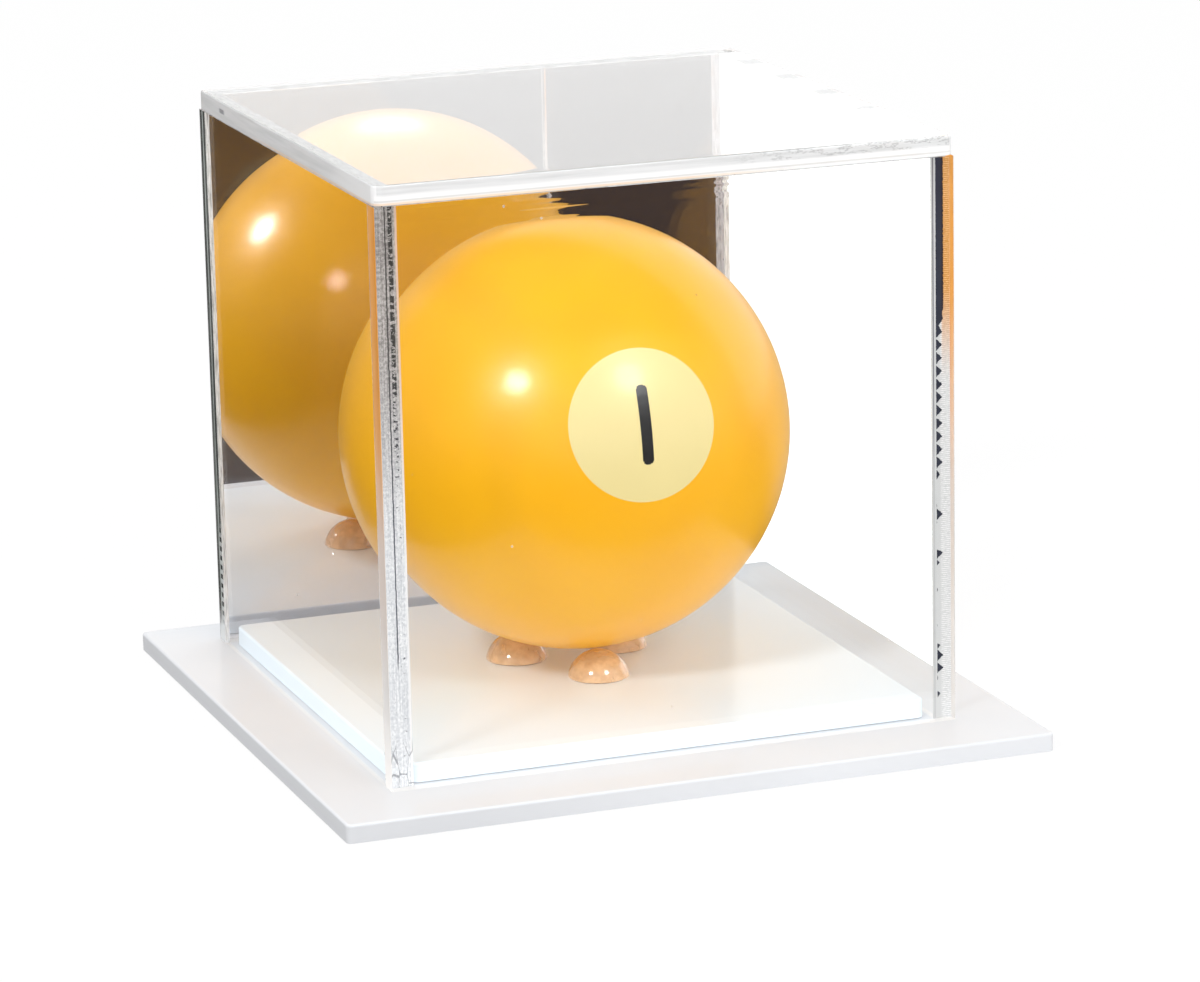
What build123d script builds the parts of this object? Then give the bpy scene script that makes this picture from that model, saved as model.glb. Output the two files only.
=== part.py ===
from build123d import *
import math
import os

# A clear display case for one pool ball: a white base with a raised plate, three clear
# rests, and a lift-off cover of cemented clear sheet whose back is a mirror.
# Millimetres. +X runs along the front, -Y faces the viewer, +Z is up.
# The origin is the middle of the base's underside.

# Base and raised plate
base_side = 94.4
base_thickness = 2.4
base_corner_radius = 0.8
base_edge_round = 0.35
riser_thickness = 2.5
riser_corner_radius = 1.2
riser_edge_round = 0.35
riser_cement = 0.1
riser_cement_inset = 1.0

# Cover, outside sizes
cover_width = 76.2
cover_depth = 76.2
cover_height = 76.2
cover_set_back = 1.3
sheet_thickness = 2.5
cement_film = 0.1
silvering_thickness = 0.06
backing_thickness = 0.14
polished_edge_round = 0.25
top_corner_radius = 1.2

# Running clearance between the raised plate and the inside of the cover
riser_clearance = 0.8

# Clear rests, each a dome on an adhesive disc
rest_diameter = 8.1
rest_height = 3.45
rest_rim_height = 0.25
rest_adhesive_thickness = 0.15
rest_adhesive_inset = 0.25
rest_circle_radius = 8.2
rest_count = 3
rest_names = ["front", "back_right", "back_left"]
rest_first_angle = -90.0
rest_gap = 0.12

# Ball, and how far it and its rests stand behind the base's middle
ball_diameter = 57.15
ball_set_back = 1.7
disc_diameter = 19.05
disc_depth = 3.0
disc_tilt = 14.0
numeral_stroke = 1.5
numeral_height = 10.3
numeral_depth = 0.8

# Places that follow from the sizes above
base_top = base_thickness
riser_bottom = base_top + riser_cement
riser_top = riser_bottom + riser_thickness
riser_width = cover_width - 2 * (sheet_thickness + riser_clearance)
riser_depth = cover_depth - 2 * (sheet_thickness + riser_clearance)

cover_left = -cover_width / 2
cover_right = cover_width / 2
cover_front = cover_set_back - cover_depth / 2
cover_back = cover_set_back + cover_depth / 2
cover_top = base_top + cover_height
wall_top = cover_top - sheet_thickness - cement_film
front_inner = cover_front + sheet_thickness
mirror_inner = cover_back - sheet_thickness
side_front = front_inner + cement_film
side_back = mirror_inner - cement_film

ball_radius = ball_diameter / 2
rest_radius = rest_diameter / 2
dome_height = rest_height - rest_rim_height
dome_radius = (rest_radius**2 + dome_height**2) / (2 * dome_height)
rest_bottom = riser_top + rest_adhesive_thickness
dome_centre_height = rest_bottom + rest_height - dome_radius
centre_distance = ball_radius + rest_gap + dome_radius
ball_height = dome_centre_height + math.sqrt(centre_distance**2 - rest_circle_radius**2)


def slab(x_low, x_high, y_low, y_high, z_low, z_high):
    """A plain block between two opposite corners."""
    middle = ((x_low + x_high) / 2, (y_low + y_high) / 2, (z_low + z_high) / 2)
    return Pos(*middle) * Box(x_high - x_low, y_high - y_low, z_high - z_low)


def rounded_plate(width, depth, thickness, corner_radius, edge_round):
    """A plate standing on Z 0 with rounded corners and a softened top edge."""
    plate = extrude(RectangleRounded(width, depth, corner_radius), thickness)
    top_edges = plate.edges().group_by(Axis.Z)[-1]
    return fillet(top_edges, edge_round)


def upright_edges_at(solid, y_place):
    """The vertical edges of a sheet that lie on one plane across Y."""
    edges = solid.edges().filter_by(Axis.Z)
    return edges.filter_by_position(Axis.Y, y_place - 0.01, y_place + 0.01)


def base_parts():
    base = rounded_plate(
        base_side, base_side, base_thickness, base_corner_radius, base_edge_round
    )
    riser = rounded_plate(
        riser_width, riser_depth, riser_thickness, riser_corner_radius, riser_edge_round
    )
    cement = extrude(
        RectangleRounded(
            riser_width - 2 * riser_cement_inset,
            riser_depth - 2 * riser_cement_inset,
            riser_corner_radius,
        ),
        riser_cement,
    )
    return {
        "base_plate": base,
        "riser_plate": Pos(0, cover_set_back, riser_bottom) * riser,
        "riser_cement": Pos(0, cover_set_back, base_top) * cement,
    }


def rest_dome():
    """Half section of a rest, turned round its own axis."""
    outline = Polyline(
        (0, rest_height), (0, 0), (rest_radius, 0), (rest_radius, rest_rim_height)
    )
    crown = RadiusArc((rest_radius, rest_rim_height), (0, rest_height), -dome_radius)
    section = Plane.XZ * make_face(outline + crown)
    return revolve(section, Axis.Z)


def rest_parts():
    parts = {}
    for index in range(rest_count):
        angle = math.radians(rest_first_angle + index * 360 / rest_count)
        x = rest_circle_radius * math.cos(angle)
        y = ball_set_back + rest_circle_radius * math.sin(angle)
        adhesive = Cylinder(
            rest_radius - rest_adhesive_inset,
            rest_adhesive_thickness,
            align=(Align.CENTER, Align.CENTER, Align.MIN),
        )
        name = rest_names[index]
        parts["rest_" + name] = Pos(x, y, rest_bottom) * rest_dome()
        parts["rest_adhesive_" + name] = Pos(x, y, riser_top) * adhesive
    return parts


def cover_panels():
    front = slab(cover_left, cover_right, cover_front, front_inner, base_top, wall_top)
    front = fillet(upright_edges_at(front, cover_front), polished_edge_round)

    side_left = slab(
        cover_left, cover_left + sheet_thickness, side_front, side_back, base_top, wall_top
    )
    side_right = slab(
        cover_right - sheet_thickness, cover_right, side_front, side_back, base_top, wall_top
    )

    top = extrude(
        RectangleRounded(cover_width, cover_depth, top_corner_radius), sheet_thickness
    )
    top = fillet(top.edges().group_by(Axis.Z)[-1], polished_edge_round)
    return {
        "cover_front_panel": front,
        "cover_left_panel": side_left,
        "cover_right_panel": side_right,
        "cover_top_panel": Pos(0, cover_set_back, cover_top - sheet_thickness) * top,
    }


def mirror_layers():
    """The back panel: clear sheet, a silver film behind it and a painted backing."""
    backing_front = cover_back - backing_thickness
    silver_front = backing_front - silvering_thickness
    layers = {
        "mirror_sheet": (mirror_inner, silver_front),
        "mirror_silvering": (silver_front, backing_front),
        "mirror_backing": (backing_front, cover_back),
    }
    return {
        name: slab(cover_left, cover_right, y_low, y_high, base_top, wall_top)
        for name, (y_low, y_high) in layers.items()
    }


def cement_seams():
    """The cured cement between the panels, one film for each joint."""
    left_inner = cover_left + sheet_thickness
    right_inner = cover_right - sheet_thickness
    ends = {"left": (cover_left, left_inner), "right": (right_inner, cover_right)}
    seams = {}
    for side, (x_low, x_high) in ends.items():
        seams["seam_front_" + side] = slab(
            x_low, x_high, front_inner, side_front, base_top, wall_top
        )
        seams["seam_back_" + side] = slab(
            x_low, x_high, side_back, mirror_inner, base_top, wall_top
        )

    film_top = wall_top + cement_film
    corner_limit = top_corner_radius
    long_left = cover_left + corner_limit
    long_right = cover_right - corner_limit
    seams["seam_top_front"] = slab(
        long_left, long_right, cover_front, front_inner, wall_top, film_top
    )
    seams["seam_top_back"] = slab(
        long_left, long_right, mirror_inner, cover_back, wall_top, film_top
    )
    for side, (x_low, x_high) in ends.items():
        seams["seam_top_" + side] = slab(
            x_low, x_high, side_front, side_back, wall_top, film_top
        )
    return seams


def number_prism(frame, reach):
    """A round-ended bar, the figure one, running outwards along the disc's axis."""
    bar = SlotOverall(numeral_height, numeral_stroke, rotation=90)
    start = ball_radius - numeral_depth
    return extrude(frame.offset(start) * bar, reach)


def ball_parts():
    """The ball, with a number disc let in on each side and a figure in each disc."""
    sphere = Sphere(ball_radius)
    tilt = math.radians(disc_tilt)
    outwards = {
        "front": Vector(0, -math.cos(tilt), math.sin(tilt)),
        "back": Vector(0, math.cos(tilt), -math.sin(tilt)),
    }
    place = Pos(0, ball_set_back, ball_height)
    parts = {}
    body = sphere
    for side, direction in outwards.items():
        across = Vector(0, 0, 1).cross(direction)
        frame = Plane(origin=(0, 0, 0), x_dir=across, z_dir=direction)
        plug = extrude(
            frame.offset(ball_radius - disc_depth) * Circle(disc_diameter / 2), ball_radius
        )
        figure = number_prism(frame, ball_radius)
        parts["number_disc_" + side] = place * ((sphere & plug) - figure)
        parts["numeral_" + side] = place * (sphere & figure)
        body = body - plug
    parts["ball_body"] = place * body
    return parts


def all_parts():
    parts = {}
    for group in (
        base_parts(),
        rest_parts(),
        cover_panels(),
        mirror_layers(),
        cement_seams(),
        ball_parts(),
    ):
        parts.update(group)
    return parts


os.makedirs("parts", exist_ok=True)
for node, shape in all_parts().items():
    export_step(shape, os.path.join("parts", node + ".step"))

print("ball centre height", round(ball_height, 3))
print("ball top to the cover's inside", round(wall_top - ball_height - ball_radius, 3))
print("overall height", round(cover_top, 3))
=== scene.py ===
import math

import bmesh
import bpy
from bpy.props import FloatProperty
from bpy.props import FloatVectorProperty
from bpy.props import PointerProperty
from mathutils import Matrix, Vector


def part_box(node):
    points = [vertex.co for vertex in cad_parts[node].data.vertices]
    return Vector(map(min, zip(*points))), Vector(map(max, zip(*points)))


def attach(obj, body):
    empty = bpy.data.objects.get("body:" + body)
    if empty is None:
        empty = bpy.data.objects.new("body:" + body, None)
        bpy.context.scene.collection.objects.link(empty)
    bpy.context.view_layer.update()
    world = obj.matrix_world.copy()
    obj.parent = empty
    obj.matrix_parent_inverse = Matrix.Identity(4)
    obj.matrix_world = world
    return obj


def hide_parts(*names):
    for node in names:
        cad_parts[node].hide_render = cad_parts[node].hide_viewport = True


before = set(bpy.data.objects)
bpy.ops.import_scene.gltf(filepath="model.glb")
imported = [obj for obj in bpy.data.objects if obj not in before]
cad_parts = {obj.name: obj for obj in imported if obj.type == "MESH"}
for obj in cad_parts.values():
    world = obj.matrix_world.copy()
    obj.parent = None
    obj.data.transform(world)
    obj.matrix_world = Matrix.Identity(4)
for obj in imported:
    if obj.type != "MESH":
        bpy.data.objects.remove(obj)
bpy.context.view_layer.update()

bl_info = {
    "name": "Pool Ball Display Case",
    "version": (1, 0, 0),
    "blender": (4, 5, 0),
    "location": "3D View > Sidebar > Display Case",
    "description": "Builds a clear pool ball case with a mirror back, a white base and its ball",
    "category": "Add Mesh",
}

MM = 0.001

FRONT_LOW, FRONT_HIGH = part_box("cover_front_panel")
LEFT_LOW, LEFT_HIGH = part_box("cover_left_panel")
TOP_LOW, TOP_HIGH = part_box("cover_top_panel")
MIRROR_LOW, MIRROR_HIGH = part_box("mirror_sheet")
BALL_LOW, BALL_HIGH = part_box("ball_body")

SHEET_MM = (LEFT_HIGH.x - LEFT_LOW.x) / MM
BALL_CENTRE = Vector((0, (BALL_LOW.y + BALL_HIGH.y) / 2, (BALL_LOW.z + BALL_HIGH.z) / 2))
CASE_CENTRE = Vector((0, 0, TOP_HIGH.z / 2))
BESIDE_WALLS = -LEFT_HIGH.x

# Where the photograph was taken from, in metres and degrees, and its sensor's width in mm
CAMERA_PLACE = (-0.219546, -0.614642, 0.193995)
CAMERA_TURN = (75.7467, 1.1764, -20.238)
SENSOR_WIDTH = 36.0

# Refraction of the plastics, and tones that several finishes share
ACRYLIC_IOR = 1.49
REST_IOR = 1.46
GLUE_IOR = 1.47
WHITE = (1.0, 1.0, 1.0, 1.0)
NAVY_AIR = (0.012, 0.016, 0.035, 1.0)

# Material slots of a sheet, after that of its own finish
CEMENTED, SAWN, ENDS = 1, 2, 3

# How near a point is to an outer side of the top panel when it belongs to that side's edge,
# and where the dark blot on its left edge lies along Y
EDGE_REACH = 0.5 * MM
BLOT_PLACE = 28.5 * MM

# The bead of cement in the front left corner
BEAD_WIDTH = 0.85 * MM
BEAD_DEPTH = 0.3 * MM
BEAD_END_GAP = 0.04 * MM

# How far the figure stands proud of its disc, and how deep it goes
FIGURE_PROUD = 0.012 * MM
FIGURE_DEPTH = 0.8 * MM


def length(name, description, default):
    return FloatProperty(name=name, description=description, default=default, unit="LENGTH")


def power(name, description, default):
    return FloatProperty(name=name, description=description, default=default, unit="POWER")


def number(name, description, default):
    return FloatProperty(name=name, description=description, default=default)


def tint(name, description, default):
    return FloatVectorProperty(
        name=name, description=description, subtype="COLOR", size=3, default=default
    )


class CaseSizes(bpy.types.PropertyGroup):
    """Sizes of the pieces that are modelled here"""

    polished_edge: length(
        "Polished edge", "Radius of the softened outer edges of the clear sheet", 0.25 * MM
    )
    top_corner: length(
        "Top corner", "Radius of the top panel's corners, seen from above", 1.2 * MM
    )
    hair_gap: length(
        "Hair gap", "Clearance that keeps the faces of neighbouring pieces apart", 0.02 * MM
    )
    ball_diameter: length("Ball diameter", "Diameter of the ball", BALL_HIGH.x - BALL_LOW.x)
    disc_diameter: length(
        "Disc diameter", "Diameter of the number discs that are let into the ball", 19.05 * MM
    )
    disc_depth: length("Disc depth", "How deep each number disc goes into the ball", 3.0 * MM)
    disc_tilt: FloatProperty(
        name="Disc tilt",
        description="How far the front disc looks up from level",
        default=math.radians(14),
        unit="ROTATION",
    )
    figure_height: length(
        "Figure height", "Length of the round-ended bar in each disc", 10.3 * MM
    )
    figure_stroke: length("Figure stroke", "Width of the round-ended bar", 1.5 * MM)
    rest_rim: length("Rest rim", "Height of the upright rim under each dome", 0.25 * MM)


class CaseColours(bpy.types.PropertyGroup):
    """Colours of the case and the ball"""

    ball: tint("Ball", "Colour of the ball's body", (0.99, 0.49, 0.003))
    disc: tint("Number disc", "Colour of the number discs", (0.86, 0.72, 0.32))
    figure: tint("Figure", "Colour of the figure in each disc", (0.012, 0.013, 0.016))
    base: tint("Base", "Colour of the white base plate", (0.7, 0.715, 0.74))
    # Painted light: the raised plate is given a pale blue that offsets the ball's orange light
    # on it; the real plate is white
    riser: tint("Raised plate", "Colour of the plate under the ball", (0.83, 0.92, 0.99))
    sheet: tint("Clear sheet", "Tint of the clear sheet", (0.995, 1.0, 1.0))
    # Painted light: the rests' peach tint stands in for the ball's orange light through them;
    # the rests are clear
    rest: tint("Rests", "Tint of the clear rests", (1.0, 0.93, 0.82))
    silver: tint("Silvering", "Colour of the mirror's silver film", (0.9, 0.87, 0.885))
    backing: tint("Backing", "Colour of the paint on the mirror's back", (0.3, 0.31, 0.32))


class StageSettings(bpy.types.PropertyGroup):
    """Camera, lamps and surroundings"""

    lens: number("Lens", "Focal length on a 36 mm wide sensor", 153.72)
    front_lamp: power("Front left lamp", "Power of the soft lamp at the front left", 3.9)
    second_lamp: power("Front right lamp", "Power of the soft lamp at the front right", 1.7)
    fill_lamp: power("Low fill lamp", "Power of the wide soft lamp low in front", 1.1)
    left_lamp: power("Back left lamp", "Power of the wide soft lamp at the back left", 2.3)
    room_light: number("Room light", "Strength of the even light from all round", 3.25)
    back_wall_shine: number(
        "Back wall shine",
        "How bright the wall behind and the ceiling look in glossy surfaces",
        1.33,
    )
    behind_glass: number(
        "White behind glass",
        "Brightness of the white surroundings where they show through the sheet",
        1.6,
    )
    floor_gloss: tint(
        "Room floor", "Colour of the dark room floor, as mirrors show it", (0.045, 0.033, 0.03)
    )


def opaque(colour):
    return (colour[0], colour[1], colour[2], 1.0)


def plain(level):
    """An opaque grey"""
    return (level, level, level, 1.0)


def scaled(colour, share):
    """A colour made paler or deeper"""
    return opaque([channel * share for channel in colour])


class Value:
    """One output of a node, used in plain arithmetic"""

    def __init__(self, graph, socket):
        self.graph = graph
        self.socket = socket

    def maths(self, operation, first, second):
        settings = {"operation": operation}
        return self.graph.add("ShaderNodeMath", settings, {0: first, 1: second})

    def __add__(self, other):
        return self.maths("ADD", self, other)

    def __radd__(self, other):
        return self.maths("ADD", other, self)

    def __sub__(self, other):
        return self.maths("SUBTRACT", self, other)

    def __rsub__(self, other):
        return self.maths("SUBTRACT", other, self)

    def __mul__(self, other):
        return self.maths("MULTIPLY", self, other)

    def __truediv__(self, other):
        return self.maths("DIVIDE", self, other)

    def __gt__(self, other):
        return self.maths("GREATER_THAN", self, other)

    def __lt__(self, other):
        return self.maths("LESS_THAN", self, other)

    def size(self):
        return self.maths("ABSOLUTE", self, 0.0)

    def more_of(self, other):
        return self.maths("MAXIMUM", self, other)

    def ramp(self, low, high, bottom=0.0, top=1.0):
        """A smooth rise from bottom to top between two values"""
        settings = {"interpolation_type": "SMOOTHSTEP"}
        sockets = {
            "Value": self,
            "From Min": low,
            "From Max": high,
            "To Min": bottom,
            "To Max": top,
        }
        return self.graph.add("ShaderNodeMapRange", settings, sockets, "Result")


class Graph:
    """A node tree that is built from expressions"""

    def __init__(self, tree):
        self.tree = tree
        self.tree.nodes.clear()

    def add(self, kind, settings=None, sockets=None, output=0):
        """One node: its settings first, then the values or links of its sockets"""
        node = self.tree.nodes.new(kind)
        for key, value in (settings or {}).items():
            setattr(node, key, value)
        for key, value in (sockets or {}).items():
            if isinstance(value, Value):
                self.tree.links.new(value.socket, node.inputs[key])
            else:
                node.inputs[key].default_value = value
        return Value(self, node.outputs[output])

    def place(self):
        """Object coordinates, in metres"""
        return self.add("ShaderNodeTexCoord", output="Object")

    def stretched(self, place, scale, turn=(0.0, 0.0, 0.0)):
        sockets = {"Vector": place, "Scale": scale, "Rotation": turn}
        return self.add("ShaderNodeMapping", None, sockets)

    def apart(self, vector):
        """The three numbers of a vector"""
        first = self.add("ShaderNodeSeparateXYZ", None, {0: vector})
        outputs = first.socket.node.outputs
        return [Value(self, outputs[name]) for name in ("X", "Y", "Z")]

    def together(self, x, y, z):
        return self.add("ShaderNodeCombineXYZ", None, {"X": x, "Y": y, "Z": z})

    def noise(self, place, scale, detail=3.0, roughness=0.5):
        sockets = {"Vector": place, "Scale": scale, "Detail": detail, "Roughness": roughness}
        return self.add("ShaderNodeTexNoise", None, sockets, "Fac")

    def grain(self, place, stretch, detail=3.0, roughness=0.5, turn=(0.0, 0.0, 0.0)):
        """Noise drawn out along axes that may be turned"""
        return self.noise(self.stretched(place, stretch, turn), 1.0, detail, roughness)

    def cells(self, place, scale, output="Distance"):
        return self.add(
            "ShaderNodeTexVoronoi", None, {"Vector": place, "Scale": scale}, output
        )

    def back_and_forth(self, run, reach):
        """Rises from 0 to the reach and falls again, over and over"""
        return self.add("ShaderNodeMath", {"operation": "PINGPONG"}, {0: run, 1: reach})

    def grey(self, colour):
        return self.add("ShaderNodeSeparateColor", None, {0: colour}, "Red")

    def blend(self, share, first, second):
        """Two colours mixed by a share"""
        settings = {"data_type": "RGBA"}
        return self.add("ShaderNodeMix", settings, {0: share, 6: first, 7: second}, 2)

    def mix(self, share, first, second):
        """Two shaders mixed by a share"""
        return self.add("ShaderNodeMixShader", None, {0: share, 1: first, 2: second})

    def bump(self, height, distance, strength=1.0):
        sockets = {"Height": height, "Distance": distance, "Strength": strength}
        return self.add("ShaderNodeBump", None, sockets, "Normal")

    def plastic(self, colour, roughness, index=1.5, clear=0.0, others=None):
        """A surface of one colour; clear is the share of light that goes through it"""
        sockets = {
            "Base Color": colour,
            "Roughness": roughness,
            "IOR": index,
            "Transmission Weight": clear,
        }
        sockets.update(others or {})
        return self.add("ShaderNodeBsdfPrincipled", None, sockets, "BSDF")

    def glow(self, colour, strength=1.0):
        return self.add("ShaderNodeEmission", None, {"Color": colour, "Strength": strength})

    def sky(self, colour, strength=1.0):
        return self.add("ShaderNodeBackground", None, {"Color": colour, "Strength": strength})

    def path(self, output):
        return self.add("ShaderNodeLightPath", None, None, output)

    def soft_light(self):
        """One for rays from lamps and for scattered light, which pass clear pieces"""
        return self.path("Is Shadow Ray").more_of(self.path("Diffuse Depth") > 0.5)

    def seen(self):
        """One for rays that haven't been scattered on their way from the eye"""
        return self.path("Diffuse Depth") < 0.5

    def mirrored(self):
        """One for rays that come straight from a mirror or a polished face"""
        return (self.path("Glossy Depth") > 0.5) * self.seen()

    def through_glass(self):
        """One for rays that come straight from a clear piece"""
        return self.path("Is Transmission Ray") * self.seen()

    def see_through(self, shade):
        return self.add("ShaderNodeBsdfTransparent", None, {"Color": shade})

    def surface(self, shader):
        self.add_output("ShaderNodeOutputMaterial", shader)

    def open_surface(self, shader, shade):
        """A surface that soft light passes, a little dimmed, as if it were open"""
        self.surface(self.mix(self.soft_light(), shader, self.see_through(shade)))

    def add_output(self, kind, shader):
        node = self.tree.nodes.new(kind)
        self.tree.links.new(shader.socket, node.inputs["Surface"])


def new_surface(name):
    material = bpy.data.materials.new(name)
    material.use_nodes = True
    return material, Graph(material.node_tree)


def wiping_marks(graph, place):
    """Faint smears, as a roughness"""
    smears = graph.grain(place, (90.0, 90.0, 30.0), 4.0, 0.6, (0.3, 0.2, 0.9))
    return smears.ramp(0.52, 0.72) * 0.012


def few_specks(graph, place, density, reach, core, rarity):
    """Small round specks, in a few of the cells that fill space"""
    specks = graph.cells(place, density).ramp(reach, core)
    return specks * (graph.grey(graph.cells(place, density, "Color")) > rarity)


def with_dust(graph, place, glass):
    """The finished sheet: a few specks of dust on it, and open to soft light"""
    share = few_specks(graph, place, 240.0, 0.05, 0.03, 0.9) * 0.5
    lint = graph.plastic(plain(0.8), 0.9)
    graph.open_surface(graph.mix(share, glass, lint), plain(0.995))


def polished_sheet(name, relief=None):
    """Polished clear sheet with a little dust, a few wiping marks and perhaps a relief"""
    material, graph = new_surface(name)
    place = graph.place()
    tone = opaque(bpy.context.scene.case_colours.sheet)
    others = {"Normal": relief(graph, place)} if relief else None
    marks = wiping_marks(graph, place)
    with_dust(graph, place, graph.plastic(tone, marks, ACRYLIC_IOR, 1.0, others))
    return material


def clear_sheet():
    return polished_sheet("clear_sheet")


def ripples(graph, place):
    """Shallow level ripples under the front sheet's cemented upper edge"""
    z = graph.apart(place)[2]
    waves = graph.grain(place, (28.0, 28.0, 640.0), 2.0, 0.4)
    depth = (FRONT_HIGH.z - z).ramp(3.6 * MM, 1.6 * MM)
    return graph.bump(waves * depth, 0.09 * MM)


def rippled_sheet():
    return polished_sheet("rippled_sheet", ripples)


def side_sheet():
    """The side sheets, which mirror less at a low angle than the others"""
    material, graph = new_surface("side_sheet")
    place = graph.place()
    marks = wiping_marks(graph, place)
    tone = opaque(bpy.context.scene.case_colours.sheet)
    bent_sockets = {"Color": tone, "Roughness": marks, "IOR": ACRYLIC_IOR}
    bent = graph.add("ShaderNodeBsdfRefraction", None, bent_sockets)
    shine_sockets = {"Color": WHITE, "Roughness": marks}
    shine = graph.add("ShaderNodeBsdfAnisotropic", None, shine_sockets)
    angle = graph.add("ShaderNodeFresnel", None, {"IOR": ACRYLIC_IOR})
    share = (angle * 0.35).more_of(angle.ramp(0.9, 0.98))
    with_dust(graph, place, graph.mix(share, bent, shine))
    return material


def edge_finish(graph, tone, mist_roughness, glass_roughness, mist_share):
    """A sheet's edge: mostly a matt tone that carries its painted reflections, the rest clear,
    and open to soft light
    """
    mist = graph.plastic(tone, mist_roughness, ACRYLIC_IOR)
    glass = graph.plastic(WHITE, glass_roughness, clear=1.0)
    graph.open_surface(graph.mix(mist_share, glass, mist), plain(0.97))


def painted_reflection_edge():
    """Ends of the front sheet, painted with what they reflect: the ball's orange in their upper
    part, pale tones of the white base lower down
    """
    material, graph = new_surface("painted_reflection_edge")
    place = graph.place()
    z = graph.apart(place)[2]
    drawn = graph.grain(place, (300.0, 900.0, 40.0))
    # Painted reflection: pale tones of the white base low down, then the ball's orange above
    pale = graph.blend(
        z.ramp(0.012, 0.03), (0.86, 0.83, 0.8, 1.0), (0.78, 0.66, 0.58, 1.0)
    )
    painted_ball_reflection = graph.blend(
        drawn.ramp(0.35, 0.65), (0.92, 0.36, 0.03, 1.0), (0.94, 0.44, 0.09, 1.0)
    )
    tone = graph.blend(z.ramp(0.03, 0.05), pale, painted_ball_reflection)
    edge_finish(graph, tone, 0.3, 0.03, 0.8)
    return material


def cemented_face():
    """The part of a sheet's face that is wetted by cement, which can't be seen"""
    material, graph = new_surface("cemented_face")
    haze = graph.noise(graph.place(), 900.0, 4.0).ramp(0.72, 0.8)
    mist = graph.plastic((0.8, 0.82, 0.83, 1.0), 0.6)
    open_way = graph.see_through(plain(0.985))
    graph.surface(graph.mix(haze * 0.12, open_way, mist))
    return material


def sawn_face():
    """The lower edge of a sheet, sawn and only lightly polished"""
    material, graph = new_surface("sawn_face")
    place = graph.place()
    marks = graph.grain(place, (2600.0, 2600.0, 300.0), 5.0, 0.7)
    grain = marks.ramp(0.3, 0.7, 0.04, 0.3)
    relief = {"Normal": graph.bump(marks, 0.04 * MM)}
    glass = graph.plastic((0.95, 0.97, 0.98, 1.0), grain, ACRYLIC_IOR, 1.0, relief)
    frost = graph.plastic(marks.ramp(0.3, 0.7, 0.82, 0.9), 0.5, ACRYLIC_IOR)
    graph.open_surface(graph.mix(0.8, glass, frost), plain(0.95))
    return material


def top_edge():
    """Side faces of the top panel: pale mist painted in for the white they reflect, a painted
    highlight low on the front face, painted orange reflections of the ball, the left face
    painted paler towards the front and the right face paler, wisps
    """
    material, graph = new_surface("top_edge")
    place = graph.place()
    x, y, z = graph.apart(place)
    share = (z - TOP_LOW.z) / (TOP_HIGH.z - TOP_LOW.z)
    drawn = graph.grain(place, (60.0, 60.0, 1500.0), 4.0, 0.6)
    # Pale mist painted on the polished faces: it stands in for the white they reflect
    tone = graph.blend(
        drawn.ramp(0.3, 0.7), (0.63, 0.64, 0.645, 1.0), (0.76, 0.765, 0.77, 1.0)
    )
    front = y < TOP_LOW.y + EDGE_REACH
    left = x < TOP_LOW.x + EDGE_REACH
    # Painted light: the left face is paler towards its front end
    near = left * y.ramp(-0.01, -0.035)
    tone = graph.blend(near, tone, (0.84, 0.845, 0.85, 1.0))
    # Painted reflection of the ball: orange at the left face's foot
    foot = left * share.ramp(0.16, 0.06) * y.ramp(0.02, 0.0)
    tone = graph.blend(foot * 0.7, tone, (0.85, 0.6, 0.4, 1.0))
    blot = (y - BLOT_PLACE).size().ramp(1.6 * MM, 0.6 * MM)
    blot = blot * (share - 0.5).size().ramp(0.16, 0.08)
    tone = graph.blend(left * blot, tone, (0.25, 0.26, 0.28, 1.0))
    right = x > TOP_HIGH.x - EDGE_REACH
    # Painted highlight: a bright band along the lower part of the front face
    painted_highlight = front * share.ramp(0.6, 0.4)
    tone = graph.blend(painted_highlight * 0.9, tone, plain(0.92))
    line = front * (share - 0.2).size().ramp(0.06, 0.02)
    tone = graph.blend(line * 0.6, tone, (0.62, 0.6, 0.58, 1.0))
    # Painted reflection of the ball: orange along the front face's lowest part, on its left side
    ball_reflection_low = front * share.ramp(0.17, 0.07) * x.ramp(0.02, 0.0)
    tone = graph.blend(ball_reflection_low * 0.75, tone, (0.95, 0.68, 0.45, 1.0))
    wisps = graph.grain(place, (300.0, 300.0, 1100.0), 5.0, 0.7)
    wisps = (wisps - 0.5).size().ramp(0.025, 0.008)
    wisps = wisps * x.ramp(0.004, 0.02) * share.ramp(0.45, 0.6) * front
    tone = graph.blend(wisps * 0.6, tone, (0.22, 0.22, 0.23, 1.0))
    # Painted glints of the ball's orange in the upper front face, on its right side
    painted_ball_glints = graph.grain(place, (160.0, 160.0, 900.0), 2.0)
    painted_ball_glints = painted_ball_glints.ramp(0.64, 0.68) * x.ramp(0.016, 0.026) * front * share.ramp(0.5, 0.6)
    tone = graph.blend(painted_ball_glints * 0.8, tone, (0.9, 0.4, 0.1, 1.0))
    # Painted light: the right face is paler than the left
    tone = graph.blend(right, tone, (0.8, 0.81, 0.81, 1.0))
    edge_finish(graph, tone, 0.2, 0.05, 0.82)
    return material


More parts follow.
